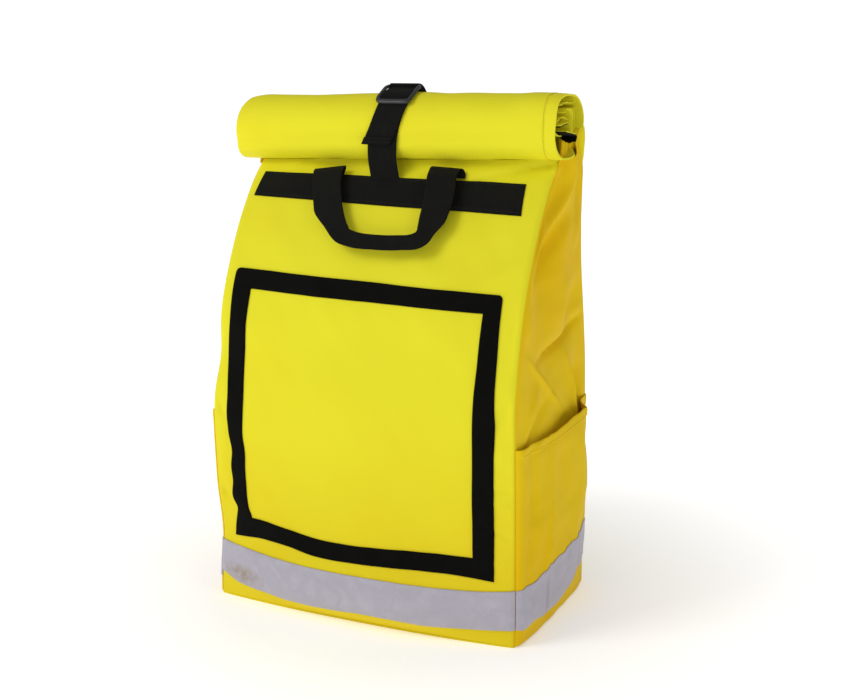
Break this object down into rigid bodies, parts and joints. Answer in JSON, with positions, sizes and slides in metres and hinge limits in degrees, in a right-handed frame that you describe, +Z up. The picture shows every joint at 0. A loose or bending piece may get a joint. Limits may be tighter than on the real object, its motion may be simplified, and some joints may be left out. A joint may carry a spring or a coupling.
{
  "type": "roll-top backpack",
  "caption": "Tall box-shaped backpack of coated cloth with a rolled top held by a buckled strap, side pockets, a reflective foot band and a tape frame on the front.",
  "frame": {"origin": "centre of the base panel's underside, on the floor", "axes": "+Z up, -Y out of the front, +X to the right as seen from the front"},
  "size_m": [0.4674, 0.3427, 0.669],
  "materials": {
    "coated_cloth": "satin coated woven cloth, bright yellow",
    "reflective_tape": "satin grey reflective tape, slightly crinkled",
    "black_webbing": "matte woven webbing",
    "loop_tape": "matte napped loop tape",
    "strap_cloth": "matte woven cloth over padding",
    "black_plastic": "satin moulded plastic"
  },
  "bodies": {
    "root": {"base_panel": "coated_cloth", "front_panel": "coated_cloth", "back_panel": "coated_cloth", "side_panel_right": "coated_cloth", "side_panel_left": "coated_cloth", "rolled_top": "coated_cloth", "side_pocket_right": "coated_cloth", "side_pocket_left": "coated_cloth", "mouth_tape_upper": "black_webbing", "mouth_tape_lower": "black_webbing", "reflective_band_front": "reflective_tape", "reflective_band_right": "reflective_tape", "reflective_band_left": "reflective_tape", "loop_tape_frame": "loop_tape", "front_webbing": "black_webbing", "carry_handle": "black_webbing", "closure_strap": "black_webbing", "closure_strap_back": "black_webbing", "strap_buckle": "black_plastic", "back_webbing": "black_webbing", "shoulder_strap_right": "strap_cloth", "shoulder_strap_left": "strap_cloth", "lower_webbing_right": "black_webbing", "lower_webbing_left": "black_webbing", "strap_adjuster_right": "black_plastic", "strap_adjuster_left": "black_plastic"}
  },
  "joints": []
}
